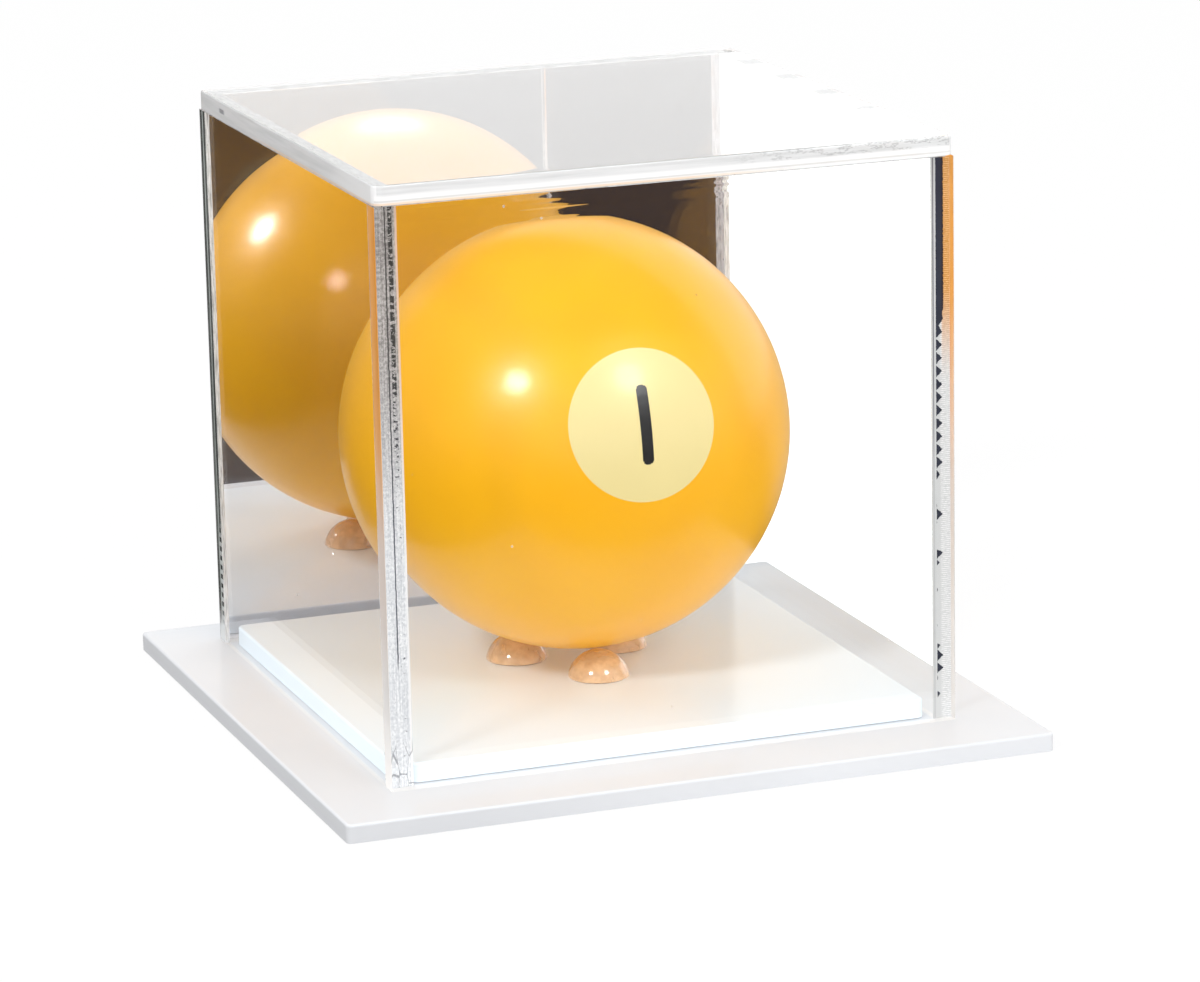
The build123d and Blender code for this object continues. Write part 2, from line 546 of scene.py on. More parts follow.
def mirror_edge():
    """Ends of the mirror's clear sheet, painted with what they reflect: green-grey, one pale
    line, teeth near the foot
    """
    material, graph = new_surface("mirror_edge")
    place = graph.place()
    y, z = graph.apart(place)[1:]
    share = (y - MIRROR_LOW.y) / (MIRROR_HIGH.y - MIRROR_LOW.y)
    drawn = graph.grain(place, (900.0, 900.0, 60.0), 5.0, 0.65)
    # Painted reflection: the edge's dark green-grey tones
    tone = graph.blend(
        drawn.ramp(0.35, 0.65), (0.06, 0.07, 0.068, 1.0), (0.2, 0.22, 0.21, 1.0)
    )
    line = (share - 0.52 + (drawn - 0.5) * 0.3).size().ramp(0.1, 0.04)
    tone = graph.blend(line, tone, (0.58, 0.62, 0.6, 1.0))
    teeth = graph.back_and_forth(z, 0.65 * MM) > 0.34 * MM
    low = z.ramp(0.02, 0.016)
    tone = graph.blend(low * teeth * (share < 0.5), tone, (0.6, 0.62, 0.61, 1.0))
    tone = graph.blend(z.ramp(0.0075, 0.004), tone, (0.62, 0.64, 0.64, 1.0))
    edge_finish(graph, tone, 0.25, 0.05, 0.85)
    return material


def cement_numbers(graph, along, across, inner_edge):
    """Where a point lies in a joint: share of the way out, and millimetres along it"""
    axes = dict(zip("xyz", graph.apart(graph.place())))
    out = (axes[across].size() / MM - inner_edge / MM) / SHEET_MM
    run = axes[along] / MM
    flat = graph.together(axes[across] / MM, run, 0.0)
    return out, run, flat


def cement_surface(graph, mist_share, mist_colour, dark_share, air_colour):
    """Clear cement, misty in part, with dark pockets of air"""
    mist = graph.plastic(mist_colour, 0.35, ACRYLIC_IOR)
    air = graph.plastic(air_colour, 0.12, ACRYLIC_IOR)
    clear = graph.see_through(plain(0.985))
    wetted = graph.mix(mist_share, clear, mist)
    graph.open_surface(graph.mix(dark_share, wetted, air), plain(0.8))


def zigzag(graph, run, pitch):
    """Rises and falls between 0 and 1 along a joint"""
    return graph.back_and_forth(run, pitch / 2) / (pitch / 2)


def plain_cement(name, along, across, inner_edge, shade):
    """A quiet joint: light mist, small bubbles and a few dry streaks"""
    material, graph = new_surface(name)
    flat = cement_numbers(graph, along, across, inner_edge)[2]
    streaks = graph.grain(flat, (2.2, 0.35, 1.0), 4.0, 0.6)
    bubble_place = graph.stretched(flat, (2.4, 1.6, 1.0))
    spacing = graph.cells(bubble_place, 1.0)
    kind = graph.grey(graph.cells(bubble_place, 1.0, "Color"))
    bubbles = (kind * 0.4 - 0.14 - spacing) > 0.0
    darker = opaque([shade, shade * 1.01, shade * 1.01])
    paler = opaque([shade * 1.2, shade * 1.21, shade * 1.21])
    tone = graph.blend(streaks.ramp(0.35, 0.65), darker, paler)
    mist_share = streaks.ramp(0.3, 0.6, 0.3, 0.75)
    cement_surface(graph, mist_share, tone, bubbles * 0.75, NAVY_AIR)
    return material


def patched_cement():
    """Joint under the top panel's right edge: pale, with a row of ragged dry patches"""
    material, graph = new_surface("cement_top_right")
    run, flat = cement_numbers(graph, "y", "x", BESIDE_WALLS)[1:]
    streaks = graph.grain(flat, (1.6, 0.5, 1.0), 4.0, 0.6)
    ragged = (graph.grain(flat, (0.9, 0.9, 1.0), 4.0, 0.65) - 0.5) * 0.8
    limit = run.ramp(-6.0, -9.0, 0.28, 0.12)
    patches = (zigzag(graph, run - 1.9, 13.3) + ragged < limit) * (run > -15.0)
    pale = graph.blend(
        streaks.ramp(0.35, 0.65), (0.86, 0.87, 0.87, 1.0), (0.94, 0.95, 0.95, 1.0)
    )
    tone = graph.blend(patches, pale, (0.5, 0.51, 0.51, 1.0))
    share = patches.ramp(0.0, 1.0, 0.75, 0.95)
    cement_surface(graph, share, tone, 0.0, NAVY_AIR)
    return material


def speckled_cement():
    """Front left joint: speckled grey, one dark line and a row of dark dashes"""
    material, graph = new_surface("cement_front_left")
    out, run, flat = cement_numbers(graph, "z", "x", BESIDE_WALLS)
    fine = graph.grain(flat, (3.0, 2.4, 1.0), 5.0, 0.7)
    streak = graph.grain(flat, (6.0, 0.12, 1.0), 4.0, 0.6)
    bend = (graph.grain(flat, (0.0, 0.9, 1.0), 3.0) - 0.5) * 0.06
    low_half = run.ramp(62.0, 28.0)
    speckle = (fine * 0.6 + streak * 0.4).ramp(0.4, 0.62)
    upper = graph.blend(speckle, (0.22, 0.2, 0.19, 1.0), (0.6, 0.56, 0.53, 1.0))
    lower = graph.blend(speckle, (0.6, 0.62, 0.65, 1.0), (0.92, 0.93, 0.94, 1.0))
    tone = graph.blend(low_half, upper, lower)
    rim = out.ramp(-0.2, -0.27)
    # Painted reflection of the ball: the rim is orange in the upper part and pale low down
    rim_ball_reflection = graph.blend(low_half, (0.78, 0.56, 0.42, 1.0), plain(0.88))
    tone = graph.blend(rim, tone, rim_ball_reflection)
    line = (out - 0.27 + bend).size().ramp(0.045, 0.02) * run.ramp(17.0, 19.0)
    dash = (graph.grain(flat, (0.7, 1.3, 1.0), 4.0, 0.75) + low_half * -0.16) > 0.47
    row = (out - 0.01 + bend).size().ramp(0.14, 0.09)
    dots = graph.cells(graph.stretched(flat, (3.2, 2.4, 1.0)), 1.0).ramp(0.2, 0.16)
    dots = dots * (1 - line) * (fine > 0.52) * (out > -0.1) * 0.5
    cracks = graph.add(
        "ShaderNodeTexVoronoi",
        {"feature": "DISTANCE_TO_EDGE"},
        {"Vector": graph.stretched(flat, (0.9, 0.28, 1.0)), "Scale": 1.0},
    ).ramp(0.035, 0.015)
    cracks = cracks * run.ramp(9.0, 7.0) * 0.6
    dark = line.more_of(dash * row).more_of(dots).more_of(cracks)
    air = graph.blend(low_half, (0.03, 0.03, 0.028, 1.0), (0.02, 0.025, 0.05, 1.0))
    share = run.ramp(75.0, 40.0, 0.82, 0.95)
    cement_surface(graph, share, tone, dark * 0.9, air)
    return material


def toothed_cement():
    """Front right joint: a dark band that breaks up into teeth, fine saw marks, and a painted
    orange reflection of the ball in its upper outer part
    """
    material, graph = new_surface("cement_front_right")
    out, run, flat = cement_numbers(graph, "z", "x", BESIDE_WALLS)
    fine = graph.grain(flat, (2.5, 3.0, 1.0), 4.0, 0.65)
    patches = graph.grain(flat, (0.0, 0.16, 1.0), 2.0)
    teeth = zigzag(graph, run + fine * 0.5, 1.7)
    upper = run.ramp(52.0, 57.0)
    middle_run = run.ramp(33.0, 36.0)
    present = middle_run.more_of(patches.ramp(0.5, 0.56))
    reach = 0.24 + teeth * 0.36 * present * (1 - upper) + upper * (0.36 + fine * 0.16)
    band = (out > 0.24 + fine * 0.05 - 0.02) * ((reach - out) > 0.02)
    comb = zigzag(graph, run, 0.26).ramp(0.25, 0.75) * out.ramp(0.4, 0.55)
    comb = comb * fine.ramp(0.3, 0.6)
    grey = graph.blend(comb, (0.6, 0.61, 0.61, 1.0), plain(0.86))
    # Painted reflection of the ball: orange in the joint's upper outer part
    ball_reflection_share = run.ramp(46.0, 60.0) * out.ramp(0.5, 0.62)
    painted_ball_reflection = graph.blend(comb, (0.62, 0.26, 0.035, 1.0), (0.86, 0.5, 0.2, 1.0))
    tone = graph.blend(ball_reflection_share, grey, painted_ball_reflection)
    edge_line = (out - 0.1).size().ramp(0.05, 0.02) * run.ramp(30.0, 50.0, 0.2, 0.7)
    dark = band.more_of(edge_line)
    share = run.ramp(75.0, 45.0, 0.8, 0.9)
    cement_surface(graph, share, tone, dark * 0.95, NAVY_AIR)
    return material


def white_acrylic(name, colour, gloss):
    """Polished white sheet with faint clouding and fine scratches"""
    material, graph = new_surface(name)
    place = graph.place()
    clouds = graph.noise(place, 40.0, 4.0).ramp(0.3, 0.7)
    scratches = graph.grain(place, (60.0, 1400.0, 60.0), turn=(0.0, 0.0, 0.6))
    scratches = scratches.ramp(0.62, 0.75)
    tone = graph.blend(clouds, opaque(colour), scaled(colour, 0.975))
    roughness = clouds * 0.05 + scratches * 0.06 + 0.12
    others = {
        "Specular IOR Level": gloss,
        "Normal": graph.bump(scratches, 0.000002, 0.4),
    }
    graph.surface(graph.plastic(tone, roughness, ACRYLIC_IOR, 0.0, others))
    return material


def plate_cement():
    """The cement under the raised plate"""
    material, graph = new_surface("plate_cement")
    patches = graph.noise(graph.place(), 300.0, 4.0).ramp(0.4, 0.6)
    tone = graph.blend(patches, (0.8, 0.81, 0.83, 1.0), (0.7, 0.71, 0.73, 1.0))
    graph.surface(graph.plastic(tone, 0.35))
    return material


def rest_plastic():
    """Soft clear plastic of the rests, with a slight mist inside; its tint and milky share are
    painted peach, standing in for the ball's orange light
    """
    material, graph = new_surface("rest_plastic")
    mist = graph.noise(graph.place(), 700.0, 3.0).ramp(0.35, 0.75)
    skin = {"Coat Weight": 1.0, "Coat Roughness": 0.1, "Coat IOR": 1.7}
    tone = opaque(bpy.context.scene.case_colours.rest)
    body = graph.plastic(tone, mist * 0.04 + 0.08, REST_IOR, 1.0, skin)
    # Painted peach: the milky part stands in for the ball's orange light in the rests
    milky_ball_glow = graph.plastic((1.0, 0.73, 0.46, 1.0), 0.12, REST_IOR, 0.0, skin)
    graph.open_surface(graph.mix(mist * 0.2 + 0.34, body, milky_ball_glow), (0.97, 0.95, 0.93, 1.0))
    return material


def rest_glue():
    """Clear adhesive with trapped air where it didn't wet the plate; the air's tone, and faintly
    the adhesive's, is painted peach for the ball's orange light
    """
    material, graph = new_surface("rest_glue")
    air = graph.noise(graph.place(), 1600.0, 3.0).ramp(0.5, 0.62)
    # Painted light: both tones are tinted peach, standing in for the ball's orange light
    wet = graph.plastic((0.99, 0.96, 0.92, 1.0), 0.1, GLUE_IOR, 1.0)
    dry = graph.plastic((0.9, 0.78, 0.66, 1.0), 0.3)
    graph.open_surface(graph.mix(air * 0.25, wet, dry), (0.9, 0.88, 0.86, 1.0))
    return material


def silver_film():
    """Silver film behind the clear sheet, with the faintest unevenness"""
    silver = bpy.context.scene.case_colours.silver
    material, graph = new_surface("silver_film")
    clouds = graph.noise(graph.place(), 60.0, 3.0).ramp(0.35, 0.7)
    tone = graph.blend(clouds, opaque(silver), scaled(silver, 0.97))
    graph.surface(graph.plastic(tone, clouds * 0.015, others={"Metallic": 1.0}))
    return material


def rolled_paint():
    """Rolled grey paint that guards the silver film"""
    paint = bpy.context.scene.case_colours.backing
    material, graph = new_surface("rolled_paint")
    place = graph.place()
    grain = graph.noise(place, 1500.0, 3.0, 0.6)
    clouds = graph.noise(place, 50.0, 3.0).ramp(0.3, 0.7)
    tone = graph.blend(clouds, opaque(paint), scaled(paint, 0.9))
    relief = {"Normal": graph.bump(grain, 0.00002, 0.5)}
    roughness = grain.ramp(0.2, 0.8, 0.42, 0.62)
    graph.surface(graph.plastic(tone, roughness, others=relief))
    return material


def polished_resin(name, colour, deeper_colour):
    """Cast resin polished to a gloss: faint mottling, a few dark specks, fine wear"""
    material, graph = new_surface(name)
    place = graph.place()
    mottle = graph.noise(place, 55.0, 4.0, 0.55).ramp(0.3, 0.7)
    specks = few_specks(graph, place, 260.0, 0.07, 0.045, 0.975)
    scuffs = graph.grain(place, (900.0, 120.0, 500.0), 4.0, 0.6)
    tone = graph.blend(mottle, opaque(colour), opaque(deeper_colour))
    marked = graph.blend(specks * 0.7, tone, (0.05, 0.03, 0.015, 1.0))
    skin = {
        "Specular IOR Level": 0.55,
        "Coat Weight": 0.26,
        "Coat Roughness": 0.17,
        "Coat IOR": 1.5,
    }
    roughness = scuffs.ramp(0.35, 0.75, 0.34, 0.36)
    graph.surface(graph.plastic(marked, roughness, others=skin))
    return material


def give_material(maker):
    """What a material's function makes, made the first time it is asked for"""
    return bpy.data.materials.get(maker.__name__) or maker()


def dress(node, material):
    """Gives a CAD node a material in all its slots"""
    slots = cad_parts[node].data.materials
    if len(slots) == 0:
        slots.append(material)
    for index in range(len(slots)):
        slots[index] = material


def start_clean():
    if bpy.context.mode != "OBJECT":
        bpy.ops.object.mode_set(mode="OBJECT")
    bpy.ops.object.select_all(action="DESELECT")


def named(name):
    """Names the object that was just added and puts its place into its mesh"""
    piece = bpy.context.active_object
    piece.name = name
    piece.data.name = name
    bpy.ops.object.transform_apply(location=True, rotation=True, scale=True)
    return piece


def block(name, low, high):
    """A box between two corners, as the start of a sheet"""
    start_clean()
    low = Vector(low)
    high = Vector(high)
    bpy.ops.mesh.primitive_cube_add(
        size=1.0, location=(low + high) / 2, scale=high - low
    )
    return named(name)


def choose(piece, kind, test):
    """In edit mode, selects the faces or edges that pass the test and no others"""
    bpy.ops.mesh.select_mode(type=kind)
    bpy.ops.mesh.select_all(action="DESELECT")
    mesh = bmesh.from_edit_mesh(piece.data)
    parts = mesh.faces if kind == "FACE" else mesh.edges
    count = 0
    for part in parts:
        if test(part):
            part.select_set(True)
            count += 1
    bmesh.update_edit_mesh(piece.data)
    if count == 0:
        raise RuntimeError("nothing was selected on " + piece.name)
    return count


def middle(part):
    points = [corner.co for corner in part.verts]
    return sum(points, Vector()) / len(points)


def cut(place, normal):
    """Cuts every face along a plane and keeps both sides"""
    bpy.ops.mesh.select_all(action="SELECT")
    bpy.ops.mesh.bisect(plane_co=place, plane_no=normal)


def start_edit():
    bpy.ops.object.mode_set(mode="EDIT")


def close_up():
    """Turns every face outwards and leaves edit mode"""
    bpy.ops.mesh.select_all(action="SELECT")
    bpy.ops.mesh.normals_make_consistent(inside=False)
    bpy.ops.object.mode_set(mode="OBJECT")


def paint_faces(piece, slot, test):
    choose(piece, "FACE", test)
    piece.active_material_index = slot
    bpy.ops.object.material_slot_assign()


def finish_piece(piece, body, nodes, smooth_angle=40.0):
    """Smooths the rounds, keeps the flats flat, hangs the piece on its body and hides the CAD
    nodes it stands for
    """
    start_clean()
    piece.select_set(True)
    bpy.context.view_layer.objects.active = piece
    bpy.ops.object.shade_smooth_by_angle(angle=math.radians(smooth_angle))
    flats = piece.modifiers.new("flat faces", "WEIGHTED_NORMAL")
    flats.weight = 95
    flats.keep_sharp = True
    bpy.ops.object.modifier_apply(modifier=flats.name)
    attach(piece, body)
    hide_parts(*nodes)
    piece.select_set(False)


def sheet_slots(piece, own, ends=None):
    """A sheet's own finish, its cemented and sawn edges, and perhaps its polished ends"""
    makers = [own, cemented_face, sawn_face]
    if ends:
        makers.append(ends)
    for maker in makers:
        piece.data.materials.append(give_material(maker))


def faces_along(axis, sign):
    """A test for faces that look along an axis"""
    return lambda face: face.normal[axis] * sign > 0.9


def cross_sheet(name, low, high, own, ends, inwards):
    """The front sheet or the mirror's, between whose ends the side panels stand

    It is left in edit mode. Inwards is the sign of the way into the case along Y."""
    piece = block(name, low, high)
    sheet_slots(piece, own, ends)
    start_edit()
    for place in (-BESIDE_WALLS, BESIDE_WALLS):
        cut((place, 0, 0), (1, 0, 0))
    facing_in = faces_along(1, inwards)
    paint_faces(piece, CEMENTED, faces_along(2, 1))
    paint_faces(piece, SAWN, faces_along(2, -1))
    paint_faces(
        piece,
        CEMENTED,
        lambda face: facing_in(face) and abs(middle(face).x) > BESIDE_WALLS,
    )
    paint_faces(piece, ENDS, lambda face: abs(face.normal.x) > 0.9)
    return piece


class CASE_OT_stage(bpy.types.Operator):
    """Camera at the photograph's angle, pale floor, soft lamps and surroundings"""

    bl_idname = "display_case.stage"
    bl_label = "Stage"

    def execute(self, context):
        stage = context.scene.case_stage
        self.camera(context, stage)
        self.floor(stage)
        self.lamps(stage)
        self.surroundings(context, stage)
        context.scene.view_settings.view_transform = "Standard"
        cycles = context.scene.cycles
        cycles.max_bounces = 40
        cycles.diffuse_bounces = 16
        cycles.transmission_bounces = 24
        cycles.glossy_bounces = 10
        cycles.transparent_max_bounces = 64
        cycles.sample_clamp_indirect = 100.0
        return {"FINISHED"}

    def camera(self, context, stage):
        start_clean()
        bpy.ops.object.camera_add(
            location=CAMERA_PLACE,
            rotation=[math.radians(angle) for angle in CAMERA_TURN],
        )
        camera = context.active_object
        camera.name = "photo_camera"
        camera.data.sensor_width = SENSOR_WIDTH
        camera.data.lens = stage.lens
        camera.data.clip_start = 0.02
        camera.data.clip_end = 20.0
        context.scene.camera = camera

    def floor(self, stage):
        start_clean()
        bpy.ops.mesh.primitive_circle_add(
            vertices=96, radius=4.0, fill_type="NGON", location=(0, 0, -0.00002)
        )
        floor = named("stage_floor")
        material, graph = new_surface("stage_floor")
        lit = graph.plastic(plain(0.88), 0.9)
        bright = graph.glow(WHITE, stage.behind_glass)
        pale = graph.mix(graph.path("Is Camera Ray") * 0.93, lit, graph.glow(WHITE))
        pale = graph.mix(graph.through_glass() * 0.9, pale, bright)
        place = graph.place()
        x, y = graph.apart(place)[:2]
        boards = graph.noise(place, 9.0, 3.0).ramp(0.3, 0.7)
        lighter = scaled(stage.floor_gloss, 1.3)
        room_tone = graph.blend(boards, opaque(stage.floor_gloss), lighter)
        sweep = x.ramp(0.05, 0.09) * y.ramp(0.0, 0.04)
        tone = graph.blend(sweep, room_tone, plain(0.5))
        shown = graph.glow(tone)
        shade = (1 - graph.seen()) * x.ramp(-0.04, 0.02, 0.9, 0.5)
        graph.surface(graph.mix(graph.mirrored().more_of(shade), pale, shown))
        material.cycles.emission_sampling = "NONE"
        floor.data.materials.append(material)

    def lamps(self, stage):
        self.lamp("lamp_front_left", -54, 36, 0.95, 0.17, stage.front_lamp)
        self.lamp("lamp_front_right", 17.5, 37, 1.0, 0.26, stage.second_lamp)
        self.lamp("lamp_low_fill", -8, 9, 1.1, 0.9, stage.fill_lamp, False)
        self.lamp("lamp_back_left", -115, 48, 1.1, 0.8, stage.left_lamp, False)

    def lamp(self, name, azimuth, elevation, distance, size, power, shines=True):
        start_clean()
        turn = math.radians(azimuth)
        rise = math.radians(elevation)
        way = Vector(
            (
                math.sin(turn) * math.cos(rise),
                -math.cos(turn) * math.cos(rise),
                math.sin(rise),
            )
        )
        facing = way.to_track_quat("Z", "Y").to_euler()
        bpy.ops.object.light_add(
            type="AREA", location=CASE_CENTRE + way * distance, rotation=facing
        )
        lamp = bpy.context.active_object
        lamp.name = name
        lamp.data.shape = "DISK"
        lamp.data.size = size
        lamp.data.energy = power
        lamp.visible_camera = False
        lamp.visible_glossy = shines
        lamp.visible_transmission = shines

    def surroundings(self, context, stage):
        world = bpy.data.worlds.new("plain_room")
        world.use_nodes = True
        world.cycles.sampling_method = "NONE"
        context.scene.world = world
        graph = Graph(world.node_tree)
        x, y, z = graph.apart(graph.add("ShaderNodeTexCoord", output="Generated"))
        sweep = (x * 0.73 + y * 0.66 + z * 0.17).ramp(0.68, 0.78)
        ceiling = z.ramp(0.7, 0.98) * 0.3
        front = y.ramp(-0.2, -0.5) * z.ramp(0.0, 0.1) * 0.3
        bright = sweep.more_of(ceiling).more_of(front)
        shine = graph.blend(bright, (0.06, 0.045, 0.04, 1.0), plain(stage.back_wall_shine))
        height = graph.blend(z.ramp(0.0, 0.75), WHITE, plain(0.2))
        side = x.ramp(-0.9, -0.1, 0.4, 1.0) * y.ramp(-0.6, 0.4, 0.75, 1.1)
        room = graph.sky(height, side * stage.room_light)
        direct = graph.mix(graph.path("Is Camera Ray"), room, graph.sky(WHITE))
        direct = graph.mix(graph.through_glass(), direct, graph.sky(WHITE, stage.behind_glass))
        seen = graph.mix(graph.mirrored(), direct, graph.sky(shine))
        graph.add_output("ShaderNodeOutputWorld", seen)


class CASE_OT_base(bpy.types.Operator):
    """White base plate, the raised plate on it and the cement between them"""

    bl_idname = "display_case.base"
    bl_label = "Base"

    def execute(self, context):
        colours = context.scene.case_colours
        dress("base_plate", white_acrylic("base_acrylic", colours.base, 0.03))
        dress("riser_plate", white_acrylic("riser_acrylic", colours.riser, 0.2))
        dress("riser_cement", give_material(plate_cement))
        return {"FINISHED"}


class CASE_OT_rests(bpy.types.Operator):
    """Three clear domes that carry the ball, each on its adhesive disc"""

    bl_idname = "display_case.rests"
    bl_label = "Rests"

    def execute(self, context):
        sizes = context.scene.case_sizes
        for name in ("front", "back_right", "back_left"):
            self.dome(name, sizes)
            dress("rest_adhesive_" + name, give_material(rest_glue))
        return {"FINISHED"}

    def dome(self, name, sizes):
        low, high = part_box("rest_" + name)
        rim = sizes.rest_rim
        radius = (high.x - low.x) / 2
        rise = high.z - low.z - rim
        sphere = (radius**2 + rise**2) / (2 * rise)
        centre = (low + high) / 2
        centre.z = high.z - sphere
        start_clean()
        bpy.ops.mesh.primitive_uv_sphere_add(
            segments=64, ring_count=48, radius=sphere, location=centre
        )
        piece = named("rest_dome_" + name)
        start_edit()
        bpy.ops.mesh.select_all(action="SELECT")
        rim_place = Vector((centre.x, centre.y, low.z + rim))
        bpy.ops.mesh.bisect(
            plane_co=rim_place, plane_no=(0, 0, 1), clear_inner=True, use_fill=False
        )
        choose(piece, "EDGE", lambda edge: edge.is_boundary)
        bpy.ops.mesh.extrude_region_move(TRANSFORM_OT_translate={"value": (0, 0, -rim)})
        bpy.ops.mesh.edge_face_add()
        close_up()
        piece.data.materials.append(give_material(rest_plastic))
        finish_piece(piece, "base", ["rest_" + name])


class CASE_OT_front_panel(bpy.types.Operator):
    """Front panel, with its polished upright corners"""

    bl_idname = "display_case.front_panel"
    bl_label = "Front panel"

    def execute(self, context):
        sizes = context.scene.case_sizes
        gap = sizes.hair_gap
        low = FRONT_LOW + Vector((0, 0, 1.5 * gap))
        high = FRONT_HIGH - Vector((0, gap, gap))
        piece = cross_sheet("front_sheet", low, high, rippled_sheet, painted_reflection_edge, 1)
        choose(
            piece,
            "EDGE",
            lambda edge: abs(middle(edge).y - low.y) < 1e-6
            and abs(abs(middle(edge).x) - high.x) < 1e-6
            and abs(edge.verts[0].co.z - edge.verts[1].co.z) > 0.01,
        )
        bpy.ops.mesh.bevel(offset=sizes.polished_edge, segments=4, affect="EDGES")
        bpy.ops.object.mode_set(mode="OBJECT")
        finish_piece(piece, "cover", ["cover_front_panel"])
        return {"FINISHED"}


class CASE_OT_side_panels(bpy.types.Operator):
    """Left and right panels, cemented between the front and the mirror"""

    bl_idname = "display_case.side_panels"
    bl_label = "Side panels"

    def execute(self, context):
        gap = context.scene.case_sizes.hair_gap
        for side in ("left", "right"):
            node = "cover_" + side + "_panel"
            low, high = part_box(node)
            low = low + Vector((0, gap, 1.5 * gap))
            high = high - Vector((0, gap, gap))
            piece = block(side + "_sheet", low, high)
            sheet_slots(piece, side_sheet)
            start_edit()
            paint_faces(piece, CEMENTED, lambda face: abs(face.normal.y) > 0.9)
            paint_faces(piece, CEMENTED, faces_along(2, 1))
            paint_faces(piece, SAWN, faces_along(2, -1))
            bpy.ops.object.mode_set(mode="OBJECT")
            finish_piece(piece, "cover", [node])
        return {"FINISHED"}


class CASE_OT_top_panel(bpy.types.Operator):
    """Top panel with rounded corners and a polished upper edge"""

    bl_idname = "display_case.top_panel"
    bl_label = "Top panel"

    def execute(self, context):
        sizes = context.scene.case_sizes
        low = TOP_LOW + Vector((0, 0, sizes.hair_gap))
        high = TOP_HIGH.copy()
        piece = block("top_sheet", low, high)
        sheet_slots(piece, clear_sheet, top_edge)
        start_edit()
        choose(
            piece,
            "EDGE",
            lambda edge: abs(edge.verts[0].co.z - edge.verts[1].co.z) > 1e-4,
        )
        bpy.ops.mesh.bevel(offset=sizes.top_corner, segments=10, affect="EDGES")
        choose(
            piece,
            "EDGE",
            lambda edge: abs(middle(edge).z - high.z) < 1e-6
            and any(face.normal.z < 0.5 for face in edge.link_faces),
        )
        bpy.ops.mesh.bevel(offset=sizes.polished_edge, segments=4, affect="EDGES")
        inside_front = FRONT_HIGH.y
        inside_back = MIRROR_LOW.y
        for place in (-BESIDE_WALLS, BESIDE_WALLS):
            cut((place, 0, 0), (1, 0, 0))
        for place in (inside_front, inside_back):
            cut((0, place, 0), (0, 1, 0))

        def over_walls(face):
            spot = middle(face)
            outside = abs(spot.x) > BESIDE_WALLS or not inside_front < spot.y < inside_back
            return face.normal.z < -0.9 and outside

        paint_faces(piece, CEMENTED, over_walls)
        paint_faces(piece, ENDS, lambda face: abs(face.normal.z) < 0.95)
        bpy.ops.object.mode_set(mode="OBJECT")
        finish_piece(piece, "cover", ["cover_top_panel"])
        return {"FINISHED"}


class CASE_OT_mirror(bpy.types.Operator):
    """Mirror back: clear sheet, silver film and painted backing"""

    bl_idname = "display_case.mirror"
    bl_label = "Mirror back"

    def execute(self, context):
        gap = context.scene.case_sizes.hair_gap
        low = MIRROR_LOW + Vector((0, gap, 1.5 * gap))
        high = MIRROR_HIGH - Vector((0, gap, gap))
        piece = cross_sheet("mirror_front_sheet", low, high, clear_sheet, mirror_edge, -1)
        bpy.ops.object.mode_set(mode="OBJECT")
        finish_piece(piece, "cover", ["mirror_sheet"])
        dress("mirror_silvering", give_material(silver_film))
        dress("mirror_backing", give_material(rolled_paint))
        return {"FINISHED"}


class CASE_OT_seams(bpy.types.Operator):
    """Cured cement in the eight joints of the cover"""

    bl_idname = "display_case.seams"
    bl_label = "Cemented joints"

    def execute(self, context):
        joints = (
            ("cement_upright", "z", "x", BESIDE_WALLS, 0.72, ("back_left", "back_right")),
            ("cement_sides", "y", "x", BESIDE_WALLS, 0.36, ("top_left",)),
            ("cement_front", "x", "y", -FRONT_HIGH.y, 0.4, ("top_front",)),
            ("cement_back", "x", "y", MIRROR_LOW.y, 0.5, ("top_back",)),
        )
        for name, along, across, edge, shade, seams in joints:
            material = plain_cement(name, along, across, edge, shade)
            for seam in seams:
                dress("seam_" + seam, material)
        speckled = speckled_cement()
        dress("seam_front_left", speckled)
        dress("seam_front_right", toothed_cement())
        dress("seam_top_right", patched_cement())
        self.bead(speckled)
        return {"FINISHED"}

    def bead(self, material):
        """The cement that was squeezed out inside the front left corner"""
        gap = bpy.context.scene.case_sizes.hair_gap
        corner = Vector((LEFT_HIGH.x, FRONT_HIGH.y, 0.0))
        low = corner + Vector((0.0, gap, LEFT_LOW.z + BEAD_END_GAP))
        high = corner + Vector((BEAD_WIDTH, BEAD_DEPTH, LEFT_HIGH.z - BEAD_END_GAP))
        piece = block("cement_bead_front_left", low, high)
        start_edit()
        bpy.ops.mesh.select_all(action="SELECT")
        bpy.ops.mesh.bisect(
            plane_co=(high.x - 0.05 * MM, low.y, 0),
            plane_no=(0.35, 1.0, 0),
            clear_outer=True,
            use_fill=True,
        )
        close_up()
        piece.data.materials.append(material)
        start_clean()
        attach(piece, "cover")


def disc_way(sizes, side):
    """The direction in which a number disc looks"""
    sign = -1 if side == "front" else 1
    tilt = sizes.disc_tilt
    return Vector((0, sign * math.cos(tilt), -sign * math.sin(tilt)))


def ball_sphere(name, sizes):
    """A fine sphere whose poles are the middles of the two discs, in edit mode"""
    start_clean()
    bpy.ops.mesh.primitive_uv_sphere_add(
        segments=144,
        ring_count=72,
        radius=sizes.ball_diameter / 2,
        location=BALL_CENTRE,
        rotation=(math.radians(90) - sizes.disc_tilt, 0, 0),
    )
    piece = named(name)
    start_edit()
    return piece


